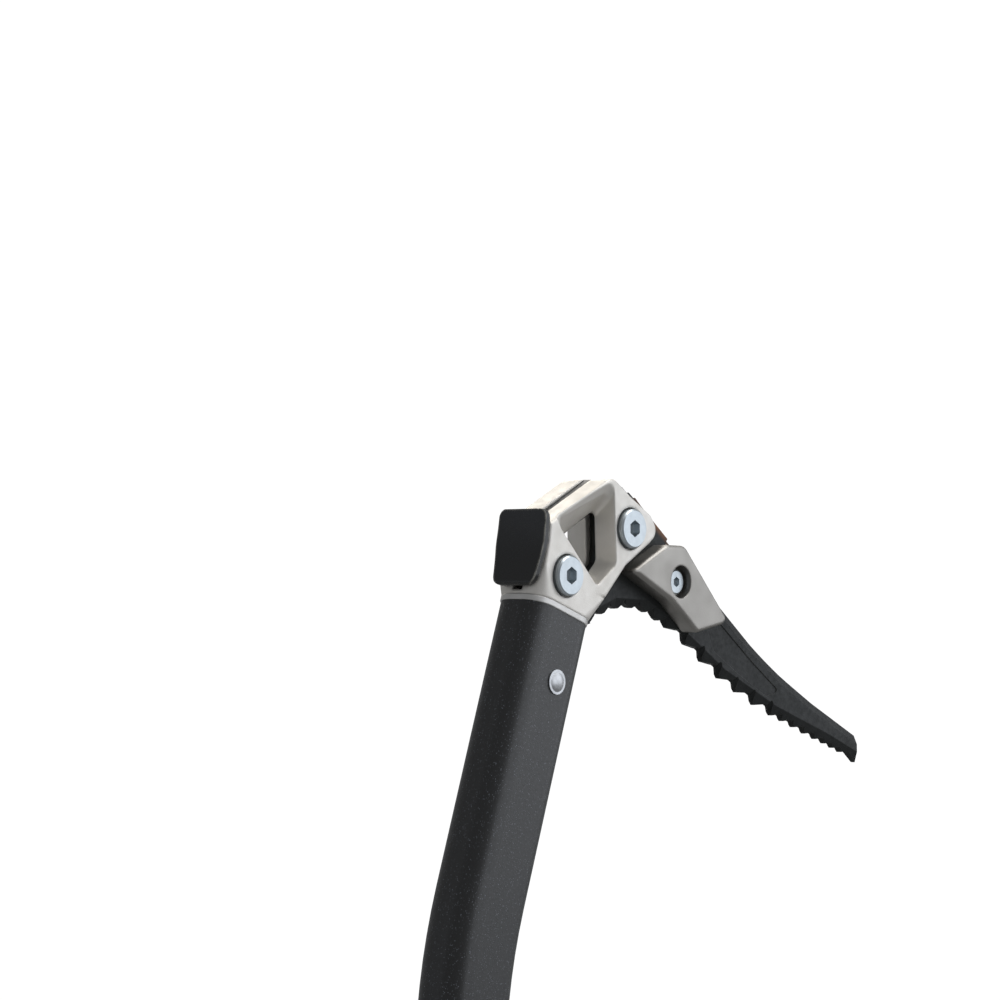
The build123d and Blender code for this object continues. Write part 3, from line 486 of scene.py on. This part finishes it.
# The second tone is the painted highlight on those crowns.
tones = add(tree, "ShaderNodeMix", COLOUR_MIX, {
    0: painted_glint_share.outputs[0], MIX_A: linear("#0c0d0f"), MIX_B: linear("#6a6f79")})
sheen_relief = add(tree, "ShaderNodeBump", sockets={
    "Height": crowns.outputs["Result"], "Distance": SHEEN_DEPTH, "Strength": 1.0})
powder_relief = add(tree, "ShaderNodeBump", sockets={
    "Height": crowns.outputs["Result"], "Distance": POWDER_DEPTH, "Strength": 1.0})
feed(tree, shader,
     Base_Color=tones.outputs[MIX_COLOUR],
     Roughness=grain(tree, place, size_mm=1.0, low=0.42, high=0.54),
     Coat_Weight=0.5,
     Coat_Roughness=0.34,
     Coat_Normal=sheen_relief.outputs["Normal"],
     Normal=powder_relief.outputs["Normal"])
finishes["shaft_coating"] = material

# %% [markdown]
# ## Moulded plastics and rubber
# The rests and the ring are glass-filled nylon, which comes out of a spark-eroded mould with a
# dull, leathery grain. The grip is soft rubber: darker, almost without highlights. The plug in
# the end of the tube is black anodised aluminium.

# %% Nylon, rubber and anodised plug
PORE_DEPTH = 0.00002

material, tree, shader, place = start_finish("glass_filled_nylon")
feed(tree, shader,
     Base_Color=mottle(tree, place, "#1a1b1c", "#222324", size_mm=9),
     Roughness=grain(tree, place, size_mm=1.2, low=0.48, high=0.62),
     Normal=skin_normal(tree, edge_mm=0.3, height=grain(tree, place, size_mm=0.7, detail=3.0),
                        depth_mm=0.03))
finishes["black_nylon"] = material

material, tree, shader, place = start_finish("soft_grip_rubber")
pores = add(tree, "ShaderNodeBump", sockets={
    "Height": grain(tree, place, size_mm=0.5), "Distance": PORE_DEPTH, "Strength": 1.0})
feed(tree, shader,
     Base_Color=mottle(tree, place, "#151515", "#1e1e1e", size_mm=11),
     Roughness=grain(tree, place, size_mm=1.5, low=0.62, high=0.78),
     Sheen_Weight=0.15,
     Normal=pores.outputs["Normal"])
finishes["grip_rubber"] = material

material, tree, shader, place = start_finish("black_anodised_aluminium")
feed(tree, shader,
     Base_Color=mottle(tree, place, "#1b1c1e", "#232527", size_mm=4),
     Metallic=0.8,
     Roughness=grain(tree, place, size_mm=1.0, low=0.34, high=0.44),
     Normal=skin_normal(tree, edge_mm=0.4))
finishes["plug_alloy"] = material
print("finishes:", len(finishes))

# %% [markdown]
# ## Dressing the CAD pieces
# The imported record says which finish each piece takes, so one loop dresses them all.

# %% Give each CAD piece its finish
for name, piece in nodes.items():
    slot = piece.data.materials[0].name.split(".")[0]
    piece.data.materials.clear()
    piece.data.materials.append(finishes[slot])
print("dressed:", len(nodes))

# %% [markdown]
# ## The rubber sleeve
# The sleeve is moulded round the straight lower part of the tube. Its section is a rounded
# rectangle, its front has four waves for the fingers, and its skin is cut by crossing grooves
# into raised diamonds that grip a glove. It could be a textured CAD solid, but the diamonds are
# true relief on the real one, so the surface is worked out here as a function of two
# parameters: how far round the section, and how far along a closed profile that runs down the
# outside, over the lip and back up against the tube.
# The grip and the sliding finger rest sit on the same straight length of tube, so the rest's
# slide gives the direction. The other measures come from the CAD sleeve and its ring.

# %% Frame of the grip, measured on the CAD sleeve
down = np.array(frame["joints"][0]["axis"])
forward = np.array([-down[2], 0.0, down[0]])


def corners_of(name):
    """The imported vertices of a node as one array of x, y, z rows."""
    mesh = nodes[name].data
    flat = np.empty(len(mesh.vertices) * 3, np.float32)
    mesh.vertices.foreach_get("co", flat)
    return flat.reshape(-1, 3).astype(float)


sleeve_points = corners_of("grip_sleeve")
ring_points = corners_of("grip_ring")
sleeve_top = (sleeve_points @ down).min()
sleeve_length = (sleeve_points @ down).max() - sleeve_top
centre_forward = ((ring_points @ forward).min() + (ring_points @ forward).max()) / 2
half_wide = np.abs(sleeve_points[:, 1]).max()
half_long = centre_forward - (sleeve_points @ forward).min()
print("sleeve mm:", [round(v * 1000, 2) for v in (sleeve_length, half_wide, half_long)])

# %% Surface of the sleeve
RUBBER = 0.0026             # metres of wall
THINNEST_WALL = 0.0004      # left at the bottom of a wave
TUBE_CORNER = 0.0075
BORE_CLEARANCE = 0.00001
LIP_ROUND = 0.0012
DIAMONDS_ROUND = 16
DIAMONDS_ALONG = 14
GROOVE_DEPTH = 0.0009
GROOVE_WIDTH = 0.11         # share of a diamond
PLAIN_END, PLAIN_FADE = 0.05, 0.02      # shares of the length without grooves, and fading in
WAVES = 4
WAVE_RADIUS = 0.0182
WAVE_STAND_OFF = 0.0170
WAVE_SPAN = 0.99            # share of the radius a wave may use, short of a vertical wall
STEPS_ROUND, STEPS_ALONG, STEPS_BACK = 320, 270, 8
SECTION_STEPS = 2001        # samples of the section's length


def round_section(share, half_a, half_b, corner):
    """Point and outward normal of a rounded rectangle at shares of its length: four quarter
    circles joined by straight sides, walked by arc length."""
    turn = np.linspace(0, 2 * np.pi, SECTION_STEPS)
    flat_a, flat_b = half_a - corner, half_b - corner
    x = flat_a * np.sign(np.cos(turn)) + corner * np.cos(turn)
    y = flat_b * np.sign(np.sin(turn)) + corner * np.sin(turn)
    walked = np.concatenate([[0], np.cumsum(np.hypot(np.diff(x), np.diff(y)))])
    at = share * walked[-1]
    angle = np.interp(at, walked, turn)
    return np.interp(at, walked, x), np.interp(at, walked, y), np.cos(angle), np.sin(angle)


def sleeve_surface(round_count, along_count):
    """Outer skin carried round the section. Its distance from the tube is the wall, less a wave
    cut by a circle in front, less exp(-(near / width)^4) of the groove's depth where either
    diagonal coordinate is near a whole number. A quarter circle rounds the lip at each end."""
    share = (np.arange(round_count) + 0.5) / round_count
    run = np.linspace(0, 1, along_count)
    lip = LIP_ROUND / sleeve_length
    sx, sy, nx, ny = round_section(share, half_long - RUBBER, half_wide - RUBBER, TUBE_CORNER)
    u, v = np.meshgrid(share, run, indexing="ij")

    diagonal_a = u * DIAMONDS_ROUND + v * DIAMONDS_ALONG
    diagonal_b = u * DIAMONDS_ROUND - v * DIAMONDS_ALONG
    near = np.minimum(np.abs(diagonal_a - np.round(diagonal_a)),
                      np.abs(diagonal_b - np.round(diagonal_b)))
    margin = np.clip((np.minimum(v, 1 - v) - PLAIN_END) / PLAIN_FADE, 0, 1)
    groove = GROOVE_DEPTH * np.exp(-(near / GROOVE_WIDTH) ** 4) * margin

    wave_centre = (np.floor(v * WAVES) + 0.5) / WAVES
    off_centre = (v - wave_centre) * sleeve_length
    wave_reach = half_long + WAVE_STAND_OFF - np.sqrt(WAVE_RADIUS ** 2 - np.minimum(
        np.abs(off_centre), WAVE_RADIUS * WAVE_SPAN) ** 2)
    edge_in = np.minimum(v, 1 - v) / lip
    rounded = np.sqrt(np.clip(1 - (1 - np.clip(edge_in, 0, 1)) ** 2, 0, 1))
    wall = (RUBBER - LIP_ROUND) + LIP_ROUND * rounded - groove
    front = sx[:, None] + nx[:, None] * wall
    waved = np.minimum(front, np.maximum(wave_reach, sx[:, None] + THINNEST_WALL))
    front = np.where(nx[:, None] > 0, waved, front)
    side = sy[:, None] + ny[:, None] * wall
    return np.stack([front, side, v * sleeve_length], axis=-1), (sx, sy, nx, ny)


outer, (sx, sy, nx, ny) = sleeve_surface(STEPS_ROUND, STEPS_ALONG)
print("outer grid:", outer.shape[:2])

# %% The sleeve's mesh
def closed_grid_faces(rows, columns):
    """Quads of a grid that closes both ways, like a torus: the outside, then back up the bore."""
    r, c = np.meshgrid(np.arange(rows), np.arange(columns), indexing="ij")
    r_next, c_next = (r + 1) % rows, (c + 1) % columns
    return np.stack([r * columns + c, r_next * columns + c, r_next * columns + c_next,
                     r * columns + c_next], axis=-1).reshape(-1, 4)


inner_run = np.linspace(1, 0, STEPS_BACK)
inner = np.stack(np.broadcast_arrays(
    (sx + nx * BORE_CLEARANCE)[:, None], (sy + ny * BORE_CLEARANCE)[:, None],
    (inner_run * sleeve_length)[None, :]), axis=-1)
skin = np.concatenate([outer, inner], axis=1)
local = skin.reshape(-1, 3)
placed = (forward * (centre_forward + local[:, :1]) + np.array([0, 1.0, 0]) * local[:, 1:2]
          + down * (sleeve_top + local[:, 2:3]))
sleeve_mesh = bpy.data.meshes.new("rubber_sleeve")
sleeve_mesh.from_pydata(placed.tolist(), [], closed_grid_faces(*skin.shape[:2]).tolist())
sleeve_mesh.polygons.foreach_set("use_smooth", np.ones(len(sleeve_mesh.polygons), bool))
sleeve_mesh.materials.append(finishes["grip_rubber"])
sleeve = bpy.data.objects.new("rubber_sleeve", sleeve_mesh)
bpy.context.scene.collection.objects.link(sleeve)
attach(sleeve, "axe")
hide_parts("grip_sleeve")
print("sleeve faces:", len(sleeve_mesh.polygons))
